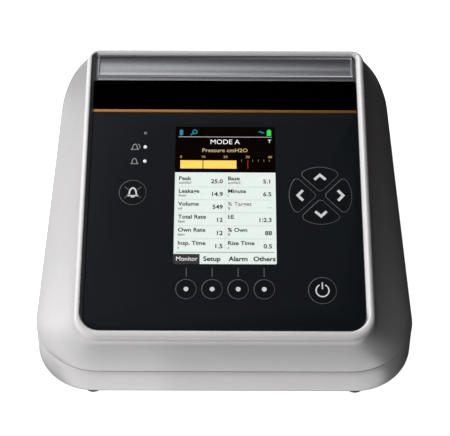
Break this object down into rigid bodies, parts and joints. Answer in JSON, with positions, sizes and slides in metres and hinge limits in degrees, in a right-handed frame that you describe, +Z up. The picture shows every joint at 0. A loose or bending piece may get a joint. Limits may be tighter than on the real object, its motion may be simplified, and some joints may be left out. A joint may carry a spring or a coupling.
{
  "type": "mechanical ventilator",
  "caption": "Desktop ventilator for the bedside: wedge-shaped white case with a sloping control panel, display, keys, a carrying handle at the rear and a hose port.",
  "frame": {"origin": "middle of the whole footprint, hose port included, on the surface it stands on", "axes": "+Z up, front toward -Y, +X to the right of someone facing the panel"},
  "size_m": [0.186, 0.222, 0.0997],
  "materials": {
    "case_white": "satin white moulded plastic",
    "panel_charcoal": "satin charcoal keypad film",
    "header_black": "gloss black",
    "accent_gold": "satin gold line",
    "silver_paint": "silver paint on plastic",
    "display_glass": "display window",
    "lamp_lens": "clear lens",
    "black_rubber": "matt black rubber",
    "dark_plastic": "dark grey moulded plastic",
    "grey_plastic": "mid grey moulded plastic",
    "steel": "plain steel",
    "circuit_board": "green circuit board",
    "filter_foam": "open-cell foam"
  },
  "bodies": {
    "case": {"accent_strip": "accent_gold", "air_filter": "filter_foam", "alarm_buzzer": "dark_plastic", "blower_lid": "case_white", "blower_motor": "steel", "blower_mount": "black_rubber", "blower_volute": "case_white", "case_screw_1": "steel", "case_screw_2": "steel", "case_screw_3": "steel", "case_screw_4": "steel", "data_socket": "steel", "dc_socket": "dark_plastic", "display_window": "display_glass", "fan_frame": "dark_plastic", "filter_hinge_pin": "steel", "filter_holder": "case_white", "flow_sensor": "case_white", "foot_front_left": "black_rubber", "foot_front_right": "black_rubber", "foot_rear_left": "black_rubber", "foot_rear_right": "black_rubber", "front_panel": "panel_charcoal", "handle_grip": "silver_paint", "handle_pocket": "dark_plastic", "header_trim": "header_black", "high_alarm_lamp": "lamp_lens", "hose_port": "case_white", "inlet_silencer": "filter_foam", "keypad_board": "circuit_board", "lcd_module": "steel", "low_alarm_lamp": "lamp_lens", "lower_case": "case_white", "main_board": "circuit_board", "mains_pin_1": "steel", "mains_pin_2": "steel", "mains_pin_3": "steel", "mains_socket": "dark_plastic", "outlet_duct": "grey_plastic", "power_lamp": "lamp_lens", "power_supply": "circuit_board", "rear_panel": "grey_plastic", "ribbon_cable": "grey_plastic", "upper_case": "case_white"},
    "battery_pack": {"battery_pack": "grey_plastic"},
    "blower_impeller": {"blower_impeller": "case_white"},
    "data_flap": {"data_flap": "dark_plastic"},
    "down_key": {"down_key": "panel_charcoal"},
    "fan_rotor": {"fan_rotor": "dark_plastic"},
    "filter_cover": {"filter_cover": "case_white"},
    "left_key": {"left_key": "panel_charcoal"},
    "menu_key_1": {"menu_key_1": "panel_charcoal"},
    "menu_key_2": {"menu_key_2": "panel_charcoal"},
    "menu_key_3": {"menu_key_3": "panel_charcoal"},
    "menu_key_4": {"menu_key_4": "panel_charcoal"},
    "mute_key": {"mute_key": "panel_charcoal"},
    "power_key": {"power_key": "panel_charcoal"},
    "right_key": {"right_key": "panel_charcoal"},
    "up_key": {"up_key": "panel_charcoal"}
  },
  "joints": [
    {"name": "mute_press", "type": "slide", "parent": "case", "child": "mute_key", "axis": [0, 0.3305, -0.9438], "range_m": [0, 0.0006], "stiffness_N_per_m": 1500},
    {"name": "power_press", "type": "slide", "parent": "case", "child": "power_key", "axis": [0, 0.3305, -0.9438], "range_m": [0, 0.0006], "stiffness_N_per_m": 1500},
    {"name": "menu_1_press", "type": "slide", "parent": "case", "child": "menu_key_1", "axis": [0, 0.3305, -0.9438], "range_m": [0, 0.0006], "stiffness_N_per_m": 1500},
    {"name": "menu_2_press", "type": "slide", "parent": "case", "child": "menu_key_2", "axis": [0, 0.3305, -0.9438], "range_m": [0, 0.0006], "stiffness_N_per_m": 1500},
    {"name": "menu_3_press", "type": "slide", "parent": "case", "child": "menu_key_3", "axis": [0, 0.3305, -0.9438], "range_m": [0, 0.0006], "stiffness_N_per_m": 1500},
    {"name": "menu_4_press", "type": "slide", "parent": "case", "child": "menu_key_4", "axis": [0, 0.3305, -0.9438], "range_m": [0, 0.0006], "stiffness_N_per_m": 1500},
    {"name": "up_press", "type": "slide", "parent": "case", "child": "up_key", "axis": [0, 0.3305, -0.9438], "range_m": [0, 0.0006], "stiffness_N_per_m": 1500},
    {"name": "left_press", "type": "slide", "parent": "case", "child": "left_key", "axis": [0, 0.3305, -0.9438], "range_m": [0, 0.0006], "stiffness_N_per_m": 1500},
    {"name": "down_press", "type": "slide", "parent": "case", "child": "down_key", "axis": [0, 0.3305, -0.9438], "range_m": [0, 0.0006], "stiffness_N_per_m": 1500},
    {"name": "right_press", "type": "slide", "parent": "case", "child": "right_key", "axis": [0, 0.3305, -0.9438], "range_m": [0, 0.0006], "stiffness_N_per_m": 1500},
    {"name": "impeller_spin", "type": "hinge", "parent": "case", "child": "blower_impeller", "pos_m": [-0.036, -0.023, 0.03], "axis": [0, 0, 1], "continuous": true},
    {"name": "fan_spin", "type": "hinge", "parent": "case", "child": "fan_rotor", "pos_m": [0.038, 0.07425, 0.05346], "axis": [0, 0.6662, 0.7458], "continuous": true},
    {"name": "filter_cover_hinge", "type": "hinge", "parent": "case", "child": "filter_cover", "pos_m": [-0.033, 0.08643, 0.04969], "axis": [-1, 0, 0], "range_deg": [0, 100]},
    {"name": "data_flap_hinge", "type": "hinge", "parent": "case", "child": "data_flap", "pos_m": [0.043, 0.0933, 0.0354], "axis": [-1, 0, 0], "range_deg": [0, 100]},
    {"name": "battery_slide", "type": "slide", "parent": "case", "child": "battery_pack", "axis": [0, 1, 0], "range_m": [0, 0.099]}
  ]
}
